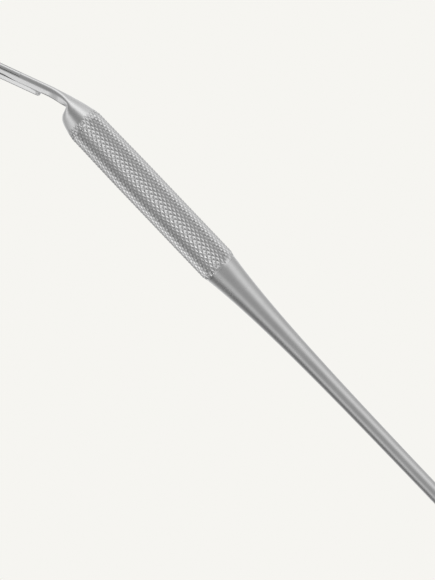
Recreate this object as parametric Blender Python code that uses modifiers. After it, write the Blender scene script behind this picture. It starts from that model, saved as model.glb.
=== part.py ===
"""Cuticle pusher with a knurled grip, a long tapered rear shank, a cranked
flat neck and a slide-on spade blade.

Frame: metres, +Z up. The handle axis is the world X axis; the flat rear end
of the shank sits at X = 0 and the working end points along +X. The neck is
cranked in the XY plane, towards +Y, and the flat of the blade faces +Z.

Tongue frame: "along" runs from the crank to the tip; "across" runs from the
back edge (0) to the lower edge, which faces +Y. Both lie in the XY plane.
"Upper" names the prong and seat on the back edge's side.
"""

import math

import bmesh
import bpy

MM = 0.001

# ----------------------------------------------------------------- handle
GRIP_REAR_X = 74.8 * MM
GRIP_FRONT_X = 115.5 * MM
SEAT_GAP = 0.02 * MM          # between touching pieces of the handle

# knurled grip sleeve
GRIP_RADIUS = 4.00 * MM       # over the diamond points
GRIP_FRONT_RADIUS = 3.87 * MM  # over the points at the nose end
GRIP_TAPER_LENGTH = 15.0 * MM  # length over which the nose end is eased down
GRIP_RIM_RADIUS = 3.68 * MM   # rim of the end faces
BORE_RADIUS = 2.50 * MM
KNURL_DEPTH = 0.27 * MM
KNURL_STARTS = 27             # helical grooves each way round
KNURL_PITCH = 1.413 * MM      # length of one diamond along the axis
KNURL_ROWS = 56               # half-diamond rows, an even number

# tenons of the end pieces, and the stud that ties them together
TENON_RADIUS = 2.44 * MM
TENON_LENGTH = 11.0 * MM
TENON_CHAMFER = 0.3 * MM      # outer corner and mouth of the stud hole
STUD_HOLE_RADIUS = 1.56 * MM
STUD_HOLE_DEPTH = 13.5 * MM
HOLE_TIP_RADIUS = 0.05 * MM   # small flat that closes the holder's stud hole
STUD_RADIUS = 1.50 * MM
STUD_CLEARANCE = 0.5 * MM     # free length at each end of the stud
STUD_CHAMFER = 0.35 * MM

SHANK_TENON_TIP_X = GRIP_REAR_X + TENON_LENGTH
SHANK_HOLE_END_X = SHANK_TENON_TIP_X - STUD_HOLE_DEPTH
HOLDER_TENON_TIP_X = GRIP_FRONT_X - TENON_LENGTH
HOLDER_HOLE_END_X = HOLDER_TENON_TIP_X + STUD_HOLE_DEPTH

# rear shank: radius = SHANK_RADIUS + SHANK_FLARE * exp(-distance / SHANK_DECAY)
SHANK_RADIUS = 1.527 * MM
SHANK_FLARE = 2.13 * MM
SHANK_DECAY = 16.29 * MM
SHANK_RIM_DROP = 0.12 * MM    # chamfer against the grip: across the radius
SHANK_RIM_LENGTH = 0.15 * MM  # and along the axis
SHANK_STEPS = 24
SHANK_BUNCHING = 1.7          # above 1 crowds the stations towards the flare
SHANK_END_FLAT_RADIUS = 1.05 * MM
SHANK_END_ROUND = 0.45 * MM
SHANK_END_STEPS = 4

# ----------------------------------------------------------------- tongue
CRANK_ANGLE = math.radians(23.0)
TONGUE_X = 127.25 * MM        # origin of the tongue frame, on the back edge
TONGUE_Y = 0.08 * MM
TONGUE_WIDTH = 2.95 * MM      # from the back edge to the lower edge
TONGUE_HALF_T = 0.75 * MM     # half thickness
BACK_ROUND = 1.15 * MM        # how far the rounded back reaches across the faces
TONGUE_END = 15.9 * MM
TIP_NARROWING = 0.25 * MM     # taken off each edge at the tongue's end
TIP_NARROWING_LENGTH = 3.0 * MM
SEAT_Z = 0.15 * MM            # blade seat, above the tongue's mid plane
HEEL = -0.35 * MM             # along: rear end of the lower prong
HEEL_ROUND = 0.58 * MM        # corner of the lug
SHOULDER = 5.0 * MM           # along: rear end of the upper prong's seat

NECK_HALF_WIDTH = 1.05 * MM
NECK_EXTRA_T = 0.03 * MM      # half thickness the neck has over the tongue
NECK_THINNING_START = -2.2 * MM

# exponents of the superellipse on the lower side of a section
ROUND_POWER = 2.0
BOX_POWER = 7.0

# Where the round nose turns into the flat neck: x, millimetres.
FLATTENING_X = (120.7, 122.9)

# Nose and neck, square to the handle axis at first and square to the tongue
# at the end: x, centre y, plane angle in degrees, half width, half height.
# Millimetres.
NOSE_STATIONS = [
    (115.52, 0.00, 0.0, 3.71, 3.71),
    (116.05, 0.00, 0.0, 3.61, 3.61),
    (117.00, 0.00, 0.0, 3.38, 3.38),
    (118.00, -0.02, 0.0, 3.11, 3.12),
    (118.73, -0.06, 0.3, 2.86, 2.91),
    (119.16, -0.11, 0.9, 2.67, 2.80),
    (119.51, -0.19, 2.0, 2.46, 2.66),
    (119.80, -0.29, 3.3, 2.26, 2.52),
    (120.02, -0.43, 5.0, 2.04, 2.38),
    (120.21, -0.60, 7.5, 1.78, 2.24),
    (120.38, -0.80, 11.4, 1.52, 2.12),
    (120.61, -0.98, 17.0, 1.25, 1.98),
    (120.95, -1.02, 20.5, 1.13, 1.80),
    (121.52, -0.90, 22.6, 1.09, 1.54),
    (122.20, -0.71, 23.0, 1.075, 1.28),
    (122.99, -0.45, 23.0, 1.06, 1.04),
    (123.95, -0.12, 23.0, 1.05, 0.88),
]

# Stations along the tongue frame, millimetres; the lug's are fractions of
# HEEL_ROUND past the heel.
NECK_STATIONS = (-2.1, -1.5, -1.1, -0.8, -0.5)
LUG_FRACTIONS = (0.01, 0.07, 0.18, 0.36, 0.62, 1.0)
TONGUE_STATIONS = (1.5, 3.2, 5.0, 9.0, 12.9, 14.2, 15.2)

# dovetail key on the tongue, measured across at the key's top corners
KEY_BACK = 0.80 * MM          # back side
KEY_LOWER = 2.00 * MM         # lower side, behind the taper
KEY_TAPER_START = 5.0 * MM    # along: where the lower side starts to taper
KEY_WAIST = 1.70 * MM         # lower side where the quick taper ends
KEY_WAIST_ALONG = 8.0 * MM
KEY_LOWER_END = 1.50 * MM     # lower side at the front end of the seat cutter
KEY_UNDERCUT = 0.22 * MM
FLANK_SLOPE = KEY_UNDERCUT / (TONGUE_HALF_T - SEAT_Z)

# how far the cutters reach past the metal
SEAT_CUT_ABOVE = 0.6 * MM
SEAT_CUT_BEYOND_END = 2.0 * MM
BLADE_CUT_ABOVE = 0.4 * MM
BLADE_CUT_BELOW_SEAT = 0.2 * MM
BLADE_CUT_START = -8.0 * MM   # along
EDGE_OVERRUN = 1.0 * MM       # past the back or lower edge

# ------------------------------------------------------------------ blade
BLADE_GAP = 0.06 * MM         # play between blade and tongue
SLOT_END = 16.6 * MM
SLOT_BACK_PLAY = 0.13 * MM
SLOT_LOWER_PLAY = 0.06 * MM
SLOT_CORNER_LENGTH = 0.45 * MM  # cut-off corners at the slot's end
SLOT_CORNER_WIDTH = 0.22 * MM
PRONG_ROUND_STEPS = 6

SPADE_HALF_WIDTH = 2.35 * MM
SPADE_FULL = 24.0 * MM        # along: full width reached
SPADE_ROUND = 26.3 * MM       # along: start of the rounded end
BLADE_TIP = 29.0 * MM
SPADE_ROOT_T = 0.49 * MM      # thickness before it thins to the spade's
SPADE_T = 0.42 * MM
SPADE_DISH = 0.30 * MM        # rise of the spade's edges over its middle
SPADE_LIFT = 0.55 * MM

# stretches along the blade over which a change is eased in
WIDENING = (17.5 * MM, SPADE_FULL)
THINNING = (16.0 * MM, 22.0 * MM)   # thickness and dish
LIFTING = (17.0 * MM, BLADE_TIP + 4.0 * MM)
RESHAPING = (16.8 * MM, 20.5 * MM)  # plate section to spade section

# Stations along the blade up to the rounded end, millimetres.
BLADE_STATIONS = (
    -1.0, 0.8, 3.0, 5.5, 9.5, 13.0, 16.0,
    17.0, 17.8, 18.6, 19.5, 20.5, 21.6, 22.8, 24.0, 25.2, 26.3,
)
TIP_RINGS = 8
TIP_DIVISIONS = 8.35          # above TIP_RINGS, so the last ring keeps some width
PLATE_BACK_STEPS = 6

# Spade section: fraction of the half width, fraction of the thickness.
SPADE_SECTION = [
    (-1.0, 0.0), (-0.985, 0.32), (-0.95, 0.46), (-0.88, 0.5),
    (-0.74, 0.5), (-0.56, 0.5), (-0.36, 0.5),
    (0.0, 0.5), (0.45, 0.5), (0.88, 0.5), (0.965, 0.42), (1.0, 0.0),
    (0.965, -0.42), (0.88, -0.5), (0.45, -0.5), (0.0, -0.5), (-0.5, -0.5),
]

# detent pip: a short cone near the heel
PIP_BASE_RADIUS = 0.25 * MM
PIP_TOP_RADIUS = 0.15 * MM
PIP_HEIGHT = 0.24 * MM
PIP_SEGMENTS = 16
PIP_CENTRE = (0.20 * MM, 2.29 * MM, TONGUE_HALF_T + 0.02 * MM)

TURN_STEPS = 36
LOFT_POINTS = 36
MERGE_DISTANCE = 0.001 * MM

# -------------------------------------------------------------- materials
SATIN = (0.62, 0.62, 0.61)
# piece: base colour, roughness
STEELS = {
    "grip_sleeve": ((0.60, 0.60, 0.59), 0.38),
    "rear_shank": (SATIN, 0.32),
    "tie_stud": ((0.50, 0.50, 0.50), 0.45),
    "blade_holder": (SATIN, 0.28),
    "pusher_blade": ((0.68, 0.68, 0.67), 0.22),
}


def steel(piece):
    """The bare metal of one piece."""
    colour, roughness = STEELS[piece]
    material = bpy.data.materials.new(piece + "_steel")
    material.use_nodes = True
    inputs = material.node_tree.nodes["Principled BSDF"].inputs
    inputs["Base Color"].default_value = (*colour, 1.0)
    inputs["Roughness"].default_value = roughness
    inputs["Metallic"].default_value = 1.0
    material.diffuse_color = (*colour, 1.0)
    return material


# ---------------------------------------------------------------- helpers
def clear_scene():
    for obj in list(bpy.data.objects):
        bpy.data.objects.remove(obj, do_unlink=True)


def make_collection(name):
    collection = bpy.data.collections.new(name)
    bpy.context.scene.collection.children.link(collection)
    return collection


def mix(start, end, fraction):
    return start + (end - start) * fraction


def smoothstep(start, end, value):
    t = min(1.0, max(0.0, (value - start) / (end - start)))
    return t * t * (3.0 - 2.0 * t)


def to_object(name, build, collection, material=None, parent=None):
    """Turns the bmesh into an object and frees it."""
    mesh = bpy.data.meshes.new(name)
    build.to_mesh(mesh)
    build.free()
    obj = bpy.data.objects.new(name, mesh)
    collection.objects.link(obj)
    obj.parent = parent
    if material is not None:
        mesh.materials.append(material)
    return obj


def shade(mesh, degrees):
    """Smooth shading, with edges sharper than the angle kept crisp."""
    mesh.shade_smooth()
    mesh.set_sharp_from_angle(angle=math.radians(degrees))


def bake_modifiers(obj):
    """Replaces the object's mesh by its evaluated mesh and drops the modifiers."""
    bpy.context.view_layer.update()
    depsgraph = bpy.context.evaluated_depsgraph_get()
    mesh = bpy.data.meshes.new_from_object(obj.evaluated_get(depsgraph))
    unmodified = obj.data
    obj.modifiers.clear()
    obj.data = mesh
    mesh.name = obj.name
    bpy.data.meshes.remove(unmodified)


def turned(name, profile, collection, rear_x):
    """A turned piece: profile points (radius, height) start and end on the
    axis. Height runs along world X from rear_x."""
    build = bmesh.new()
    verts = [build.verts.new((radius, 0.0, height)) for radius, height in profile]
    for pair in zip(verts, verts[1:]):
        build.edges.new(pair)
    obj = to_object(name, build, collection, steel(name))
    screw = obj.modifiers.new("turn", "SCREW")
    screw.axis = "Z"
    screw.angle = 2.0 * math.pi
    screw.steps = TURN_STEPS
    screw.render_steps = TURN_STEPS
    screw.use_merge_vertices = True
    screw.merge_threshold = MERGE_DISTANCE
    screw.use_smooth_shade = True
    obj.location = (rear_x, 0.0, 0.0)
    obj.rotation_euler = (0.0, math.pi / 2.0, 0.0)
    bake_modifiers(obj)
    shade(obj.data, 35.0)


def loft(name, rings, collection, material=None, parent=None):
    """Skins a list of rings of equal length and caps both ends."""
    build = bmesh.new()
    loops = [[build.verts.new(point) for point in ring] for ring in rings]
    count = len(rings[0])
    for rear, front in zip(loops, loops[1:]):
        for i in range(count):
            j = (i + 1) % count
            build.faces.new((rear[i], rear[j], front[j], front[i]))
    build.faces.new(list(reversed(loops[0])))
    build.faces.new(loops[-1])
    bmesh.ops.recalc_face_normals(build, faces=build.faces)
    return to_object(name, build, collection, material, parent)


def mark_as_cutter(obj):
    obj.hide_render = True
    obj.display_type = "WIRE"


def add_boolean(obj, cutter, name, operation="DIFFERENCE"):
    boolean = obj.modifiers.new(name, "BOOLEAN")
    boolean.operation = operation
    boolean.solver = "EXACT"
    boolean.object = cutter


def place_in_tongue_frame(obj):
    obj.location = (TONGUE_X, TONGUE_Y, 0.0)
    obj.rotation_euler = (0.0, 0.0, CRANK_ANGLE)


def flank(across, lean, z):
    """Where a dovetail flank lies across the tongue at height z. It passes
    through `across` at the top face; lean +1 moves it towards the lower edge
    with depth, -1 towards the back edge, and 0 keeps it upright."""
    return across + lean * FLANK_SLOPE * (TONGUE_HALF_T - z)


# ------------------------------------------------------------ grip sleeve
def grip_peak_radius(x):
    """Radius over the points, eased down towards the nose end."""
    taper = smoothstep(GRIP_FRONT_X - GRIP_TAPER_LENGTH, GRIP_FRONT_X, x)
    return mix(GRIP_RADIUS, GRIP_FRONT_RADIUS, taper)


def make_grip_sleeve(collection):
    """Diamond knurl: a lattice of groove crossings, each diamond between four
    crossings raised to a point, closed by chamfered rims and a through bore."""
    build = bmesh.new()

    def ring(x, radius, offset=0.0):
        """Vertices round the axis, turned by offset vertex spacings."""
        verts = []
        for i in range(KNURL_STARTS):
            angle = 2.0 * math.pi * (i + offset) / KNURL_STARTS
            point = (x, -radius * math.sin(angle), radius * math.cos(angle))
            verts.append(build.verts.new(point))
        return verts

    # alternate rows are turned by half a diamond; peaks[row][i] stands
    # between crossings[row][i] and the next crossing of that row
    row_pitch = KNURL_PITCH / 2.0
    start_x = (GRIP_REAR_X + GRIP_FRONT_X - KNURL_ROWS * row_pitch) / 2.0
    crossings = []
    peaks = []
    for row in range(KNURL_ROWS + 1):
        x = start_x + row * row_pitch
        radius = grip_peak_radius(x)
        offset = 0.5 * (row % 2)
        crossings.append(ring(x, radius - KNURL_DEPTH, offset))
        peaks.append(ring(x, radius, offset + 0.5))

    for row in range(1, KNURL_ROWS):
        for i in range(KNURL_STARTS):
            j = (i + 1) % KNURL_STARTS
            beside = j if row % 2 else i
            corners = (
                crossings[row][i],
                crossings[row - 1][beside],
                crossings[row][j],
                crossings[row + 1][beside],
            )
            for k in range(4):
                build.faces.new((corners[k], corners[(k + 1) % 4], peaks[row][i]))

    # half diamonds of the end rows, chamfers, end faces and the bore
    rear_rim = ring(GRIP_REAR_X, GRIP_RIM_RADIUS)
    front_rim = ring(GRIP_FRONT_X, GRIP_RIM_RADIUS)
    rear_bore = ring(GRIP_REAR_X, BORE_RADIUS)
    front_bore = ring(GRIP_FRONT_X, BORE_RADIUS)
    ends = (
        (crossings[0], crossings[1], peaks[0], rear_rim),
        (crossings[-1], crossings[-2], peaks[-1], front_rim),
    )
    for i in range(KNURL_STARTS):
        j = (i + 1) % KNURL_STARTS
        for outer, inner, tops, rim in ends:
            build.faces.new((outer[i], tops[i], inner[i]))
            build.faces.new((tops[i], outer[j], inner[i]))
            build.faces.new((rim[i], tops[i], outer[i]))
            build.faces.new((rim[i], rim[j], tops[i]))
            build.faces.new((rim[j], outer[j], tops[i]))
        build.faces.new((rear_bore[i], rear_bore[j], rear_rim[j], rear_rim[i]))
        build.faces.new((front_rim[i], front_rim[j], front_bore[j], front_bore[i]))
        build.faces.new((front_bore[i], front_bore[j], rear_bore[j], rear_bore[i]))

    bmesh.ops.recalc_face_normals(build, faces=build.faces)
    sleeve = to_object("grip_sleeve", build, collection, steel("grip_sleeve"))
    shade(sleeve.data, 8.0)


# ------------------------------------------------------------- rear shank
def shank_radius(x):
    """Radius of the shank at station x, a slim rod flaring into the grip."""
    return SHANK_RADIUS + SHANK_FLARE * math.exp(-(GRIP_REAR_X - x) / SHANK_DECAY)


def make_rear_shank(collection):
    tip = SHANK_TENON_TIP_X
    seat = GRIP_REAR_X - SEAT_GAP
    # stud hole, tenon and the face against the grip
    profile = [
        (0.0, SHANK_HOLE_END_X),
        (STUD_HOLE_RADIUS, SHANK_HOLE_END_X),
        (STUD_HOLE_RADIUS, tip - TENON_CHAMFER),
        (STUD_HOLE_RADIUS + TENON_CHAMFER, tip),
        (TENON_RADIUS - TENON_CHAMFER, tip),
        (TENON_RADIUS, tip - TENON_CHAMFER),
        (TENON_RADIUS, seat),
        (shank_radius(seat) - SHANK_RIM_DROP, seat),
    ]
    for i in range(SHANK_STEPS + 1):
        fraction = (i / SHANK_STEPS) ** SHANK_BUNCHING
        x = mix(seat - SHANK_RIM_LENGTH, SHANK_END_ROUND, fraction)
        profile.append((shank_radius(x), x))
    # rounded corner of the rear end
    end_radius = shank_radius(SHANK_END_ROUND)
    for i in range(1, SHANK_END_STEPS + 1):
        angle = math.pi / 2.0 * i / SHANK_END_STEPS
        radius = mix(end_radius, SHANK_END_FLAT_RADIUS, 1.0 - math.cos(angle))
        profile.append((radius, SHANK_END_ROUND * (1.0 - math.sin(angle))))
    profile.append((0.0, 0.0))
    turned("rear_shank", profile, collection, rear_x=0.0)


# --------------------------------------------------------------- tie stud
def make_tie_stud(collection):
    rear = SHANK_HOLE_END_X + STUD_CLEARANCE
    length = HOLDER_HOLE_END_X - STUD_CLEARANCE - rear
    profile = [
        (0.0, length),
        (STUD_RADIUS - STUD_CHAMFER, length),
        (STUD_RADIUS, length - STUD_CHAMFER),
        (STUD_RADIUS, STUD_CHAMFER),
        (STUD_RADIUS - STUD_CHAMFER, 0.0),
        (0.0, 0.0),
    ]
    turned("tie_stud", profile, collection, rear_x=rear)


# ----------------------------------------------------------- blade holder
def section(centre, plane_angle, back, lower, half_height, power):
    """A section that reaches `back` and `lower` from its centre: half an
    ellipse on the back side, half a superellipse on the lower side."""
    centre_x, centre_y = centre
    ring = []
    for i in range(LOFT_POINTS):
        angle = 2.0 * math.pi * (i + 0.5) / LOFT_POINTS
        cosine, sine = math.cos(angle), math.sin(angle)
        if cosine >= 0.0:
            across = lower * cosine ** (2.0 / power)
            z = half_height * math.copysign(abs(sine) ** (2.0 / power), sine)
        else:
            across = back * cosine
            z = half_height * sine
        ring.append((
            centre_x - math.sin(plane_angle) * across,
            centre_y + math.cos(plane_angle) * across,
            z,
        ))
    return ring


def disc(x, radius):
    """A round section about the handle axis."""
    return section((x, 0.0), 0.0, radius, radius, radius, ROUND_POWER)


def nose_section(x, y, degrees, half_width, half_height):
    """The round nose flattens into a neck with a rounded back and flat faces.
    Arguments as in NOSE_STATIONS, millimetres."""
    flat = smoothstep(*FLATTENING_X, x)
    back = mix(half_width, BACK_ROUND / MM, flat)
    angle = math.radians(degrees)
    shift = back - half_width
    return section(
        ((x - math.sin(angle) * shift) * MM, (y + math.cos(angle) * shift) * MM),
        angle,
        back * MM,
        (2.0 * half_width - back) * MM,
        half_height * MM,
        mix(ROUND_POWER, BOX_POWER, flat),
    )


def tongue_section(along):
    """Half-round back edge, flat faces, and the lug where the tongue widens."""
    rise = min(1.0, max(0.0, (along - HEEL) / HEEL_ROUND))
    lug = math.sqrt(1.0 - (1.0 - rise) ** 2)
    width = mix(2.0 * NECK_HALF_WIDTH, TONGUE_WIDTH, lug)
    thinned = smoothstep(NECK_THINNING_START, HEEL, along)
    narrowing = TIP_NARROWING * smoothstep(
        TONGUE_END - TIP_NARROWING_LENGTH, TONGUE_END, along
    )
    cosine, sine = math.cos(CRANK_ANGLE), math.sin(CRANK_ANGLE)
    return section(
        (
            TONGUE_X + along * cosine - BACK_ROUND * sine,
            TONGUE_Y + along * sine + BACK_ROUND * cosine,
        ),
        CRANK_ANGLE,
        BACK_ROUND - narrowing,
        width - BACK_ROUND - narrowing,
        TONGUE_HALF_T + NECK_EXTRA_T * (1.0 - thinned),
        BOX_POWER,
    )


def make_seat_cutter(name, stations, outer, lean, cutters):
    """Cuts down to the blade seat beside the key. Stations are (along, across
    at the key's top corner); outer is the far side across the tongue."""
    top = TONGUE_HALF_T + SEAT_CUT_ABOVE
    rings = []
    for along, corner in stations:
        rings.append([
            (along, flank(corner, lean, SEAT_Z), SEAT_Z),
            (along, outer, SEAT_Z),
            (along, outer, top),
            (along, flank(corner, lean, top), top),
        ])
    cutter = loft(name, rings, cutters)
    place_in_tongue_frame(cutter)
    mark_as_cutter(cutter)
    return cutter


def make_blade_holder(collection, cutters):
    tip = HOLDER_TENON_TIP_X
    # stud hole from its closed end, round the tenon, then nose and tongue
    rings = [
        disc(HOLDER_HOLE_END_X, HOLE_TIP_RADIUS),
        disc(HOLDER_HOLE_END_X, STUD_HOLE_RADIUS),
        disc(tip + TENON_CHAMFER, STUD_HOLE_RADIUS),
        disc(tip, STUD_HOLE_RADIUS + TENON_CHAMFER),
        disc(tip, TENON_RADIUS - TENON_CHAMFER),
        disc(tip + TENON_CHAMFER, TENON_RADIUS),
        disc(GRIP_FRONT_X + SEAT_GAP, TENON_RADIUS),
    ]
    rings += [nose_section(*station) for station in NOSE_STATIONS]
    stations = [along * MM for along in NECK_STATIONS]
    stations += [HEEL + HEEL_ROUND * fraction for fraction in LUG_FRACTIONS]
    stations += [along * MM for along in TONGUE_STATIONS]
    stations.append(TONGUE_END)
    rings += [tongue_section(along) for along in stations]
    holder = loft("blade_holder", rings, collection, steel("blade_holder"))

    # the seats on either side leave the dovetail key standing between them
    far = TONGUE_END + SEAT_CUT_BEYOND_END
    lower_corners = [
        (HEEL - BLADE_GAP, KEY_LOWER),
        (KEY_TAPER_START, KEY_LOWER),
        (KEY_WAIST_ALONG, KEY_WAIST),
        (far, KEY_LOWER_END),
    ]
    back_corners = [(SHOULDER, KEY_BACK), (far, KEY_BACK)]
    for name, corners, outer, lean in (
        ("cut_lower_seat", lower_corners, TONGUE_WIDTH + EDGE_OVERRUN, -1.0),
        ("cut_upper_seat", back_corners, -EDGE_OVERRUN, 1.0),
    ):
        cutter = make_seat_cutter(name, corners, outer, lean, cutters)
        add_boolean(holder, cutter, name)
    bake_modifiers(holder)
    shade(holder.data, 30.0)


# ----------------------------------------------------------- pusher blade
def make_tongue_axis(collection):
    axis = bpy.data.objects.new("tongue_axis", None)
    collection.objects.link(axis)
    place_in_tongue_frame(axis)
    axis.empty_display_size = 5.0 * MM
    return axis


def plate_outline():
    """Section of the blade over the tongue, (across, z): the rounded back,
    the top face, the eased lower edge, then back along the underside."""
    bottom = SEAT_Z + BLADE_GAP
    top = TONGUE_HALF_T
    edge = TONGUE_WIDTH
    start = math.asin(bottom / top)
    outline = []
    for i in range(PLATE_BACK_STEPS + 1):
        angle = start + (math.pi / 2.0 - start) * i / PLATE_BACK_STEPS
        outline.append((BACK_ROUND * (1.0 - math.cos(angle)), top * math.sin(angle)))
    return outline + [
        (1.60 * MM, top),
        (2.25 * MM, top),
        (edge - 0.22 * MM, top),
        (edge - 0.05 * MM, top - 0.12 * MM),
        (edge, top - 0.26 * MM),
        (edge - 0.02 * MM, bottom + 0.06 * MM),
        (edge - 0.10 * MM, bottom),
        (2.25 * MM, bottom),
        (1.45 * MM, bottom),
        (0.75 * MM, bottom),
    ]


def spade_outline(along):
    """Section of the spade, (across, z): a thin dished plate."""
    centre = TONGUE_WIDTH / 2.0
    if along <= SPADE_ROUND:
        half_width = mix(centre, SPADE_HALF_WIDTH, smoothstep(*WIDENING, along))
    else:
        reach = (along - SPADE_ROUND) / (BLADE_TIP - SPADE_ROUND)
        half_width = SPADE_HALF_WIDTH * math.sqrt(max(0.0, 1.0 - reach * reach))
    thinned = smoothstep(*THINNING, along)
    thickness = mix(SPADE_ROOT_T, SPADE_T, thinned)
    middle_z = (SEAT_Z + BLADE_GAP + TONGUE_HALF_T) / 2.0
    lift = SPADE_LIFT * smoothstep(*LIFTING, along)
    outline = []
    for width_fraction, height_fraction in SPADE_SECTION:
        offset = width_fraction * half_width
        dish = SPADE_DISH * thinned * (offset / SPADE_HALF_WIDTH) ** 2
        z = middle_z + height_fraction * thickness + dish + lift
        outline.append((centre + offset, z))
    return outline


def blade_ring(along):
    """Section of the blade, blended from the plate to the spade."""
    blend = smoothstep(*RESHAPING, along)
    return [
        (along, mix(plate[0], spade[0], blend), mix(plate[1], spade[1], blend))
        for plate, spade in zip(plate_outline(), spade_outline(along))
    ]


def blade_cut_outlines():
    """Outlines of the blade's cutters: (along, across at the top face, lean)."""
    start = BLADE_CUT_START
    back = KEY_BACK - SLOT_BACK_PLAY
    lower = KEY_LOWER + SLOT_LOWER_PLAY
    middle = (back + lower) / 2.0

    # slot for the key: its flanks lean the same way as the key's
    slot = [
        (start, back, 1.0),
        (SLOT_END - SLOT_CORNER_LENGTH, back, 1.0),
        (SLOT_END, back + SLOT_CORNER_WIDTH, 1.0),
        (SLOT_END, lower - SLOT_CORNER_WIDTH, -1.0),
        (SLOT_END - SLOT_CORNER_LENGTH, lower, -1.0),
        (start, lower, -1.0),
    ]

    # rear end of the upper prong
    upper_end = SHOULDER + BLADE_GAP
    upper = [
        (start, -EDGE_OVERRUN, 0.0),
        (upper_end, -EDGE_OVERRUN, 0.0),
        (upper_end, middle, 0.0),
        (start, middle, 0.0),
    ]

    # rear end of the lower prong, rounded into the lug
    round_start = TONGUE_WIDTH - HEEL_ROUND
    heel = [(start, middle, 0.0), (HEEL, middle, 0.0), (HEEL, round_start, 0.0)]
    for i in range(1, PRONG_ROUND_STEPS + 1):
        angle = math.pi / 2.0 * i / PRONG_ROUND_STEPS
        heel.append((
            HEEL + HEEL_ROUND * (1.0 - math.cos(angle)),
            round_start + HEEL_ROUND * math.sin(angle),
            0.0,
        ))
    heel += [
        (HEEL + HEEL_ROUND, TONGUE_WIDTH + EDGE_OVERRUN, 0.0),
        (start, TONGUE_WIDTH + EDGE_OVERRUN, 0.0),
    ]
    return {"cut_blade_slot": slot, "cut_upper_prong": upper, "cut_lower_prong": heel}


def make_blade_cutter(name, outline, cutters, axis):
    """Prism through the blade's thickness."""
    rings = [
        [(along, flank(across, lean, z), z) for along, across, lean in outline]
        for z in (SEAT_Z - BLADE_CUT_BELOW_SEAT, TONGUE_HALF_T + BLADE_CUT_ABOVE)
    ]
    cutter = loft(name, rings, cutters, parent=axis)
    mark_as_cutter(cutter)
    return cutter


def make_detent_pip(cutters, axis):
    build = bmesh.new()
    bmesh.ops.create_cone(
        build,
        cap_ends=True,
        segments=PIP_SEGMENTS,
        radius1=PIP_BASE_RADIUS,
        radius2=PIP_TOP_RADIUS,
        depth=PIP_HEIGHT,
    )
    pip = to_object("join_detent_pip", build, cutters, parent=axis)
    pip.location = PIP_CENTRE
    mark_as_cutter(pip)
    return pip


def make_pusher_blade(collection, cutters, axis):
    stations = [along * MM for along in BLADE_STATIONS]
    for i in range(1, TIP_RINGS + 1):
        reach = math.sin(math.pi / 2.0 * i / TIP_DIVISIONS)
        stations.append(mix(SPADE_ROUND, BLADE_TIP, reach))
    rings = [blade_ring(along) for along in stations]
    blade = loft("pusher_blade", rings, collection, steel("pusher_blade"), axis)

    for name, outline in blade_cut_outlines().items():
        cutter = make_blade_cutter(name, outline, cutters, axis)
        add_boolean(blade, cutter, name)
    add_boolean(blade, make_detent_pip(cutters, axis), "detent_pip", "UNION")
    bake_modifiers(blade)
    shade(blade.data, 30.0)


# ------------------------------------------------------------------ build
def main():
    clear_scene()
    parts = make_collection("cuticle_pusher")
    cutters = make_collection("cutters")
    make_grip_sleeve(parts)
    make_rear_shank(parts)
    make_tie_stud(parts)
    make_blade_holder(parts, cutters)
    make_pusher_blade(parts, cutters, make_tongue_axis(parts))
    bpy.context.view_layer.update()


main()
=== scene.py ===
"""Looks of the cuticle pusher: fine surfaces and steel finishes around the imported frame.

Metres, +Z up. The handle lies along X, with the free end of its tapered shank at
x = 0. Then come the knurled grip, the nose and the neck, which cranks towards +Y
and carries a slide-on spade blade at the +X end.
"""

import math

import bmesh
import bpy
from mathutils import Matrix, Vector


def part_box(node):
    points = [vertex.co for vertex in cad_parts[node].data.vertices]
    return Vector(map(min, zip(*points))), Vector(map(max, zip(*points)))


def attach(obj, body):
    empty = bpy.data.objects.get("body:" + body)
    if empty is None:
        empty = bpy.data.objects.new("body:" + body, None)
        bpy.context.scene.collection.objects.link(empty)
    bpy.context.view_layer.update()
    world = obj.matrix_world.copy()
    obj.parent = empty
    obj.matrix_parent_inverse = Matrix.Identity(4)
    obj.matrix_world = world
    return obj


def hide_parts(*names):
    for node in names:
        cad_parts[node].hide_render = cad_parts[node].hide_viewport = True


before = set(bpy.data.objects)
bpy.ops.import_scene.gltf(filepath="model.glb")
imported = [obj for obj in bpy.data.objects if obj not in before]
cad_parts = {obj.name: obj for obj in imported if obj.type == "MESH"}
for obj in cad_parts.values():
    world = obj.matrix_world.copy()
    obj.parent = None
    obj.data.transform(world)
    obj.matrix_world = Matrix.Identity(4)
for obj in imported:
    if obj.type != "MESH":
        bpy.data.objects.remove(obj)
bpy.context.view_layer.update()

MM = 0.001

# ------------------------------------------------------------ grip and knurl
SLEEVE_LO, SLEEVE_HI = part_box("grip_sleeve")
GRIP_REAR_X, GRIP_FRONT_X = SLEEVE_LO.x, SLEEVE_HI.x
GRIP_R = SLEEVE_HI.z
GRIP_FRONT_R = 3.87 * MM       # where the front taper would end
GRIP_TAPER_LEN = 15.0 * MM
GRIP_END_R = 3.672 * MM        # at the rear edge
GRIP_SEAM_R = 3.718 * MM       # at the front edge
REAR_SLOPE = 0.13
REAR_RISE = 0.15 * MM
REAR_RISE_LEN = 1.4 * MM
FRONT_SLOPE = 0.23
BORE_R = 2.50 * MM
COUNTERSINK = 0.12 * MM

KNURL_DEPTH = 0.185 * MM
KNURL_STARTS = 27
KNURL_PITCH_X = 1.413 * MM
KNURL_ROWS = 56
KNURL_START_X = (GRIP_REAR_X + GRIP_FRONT_X - KNURL_ROWS * KNURL_PITCH_X / 2.0) / 2.0
CELL_STEPS = 5                 # grid steps from a groove's crossing to a point
CELL_GRID = 2 * CELL_STEPS
KNURL_COLS = KNURL_STARTS * CELL_GRID
# heights across a diamond: a rounded groove, straight flanks, a rubbed point
KNURL_PROFILE = [0.0, 0.20, 0.41, 0.62, 0.83, 1.0]
RUN_OUT_LEN = 1.15 * MM        # the grooves' faint end on the nose
RUN_OUT_DEPTH = 0.22 * MM

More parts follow.
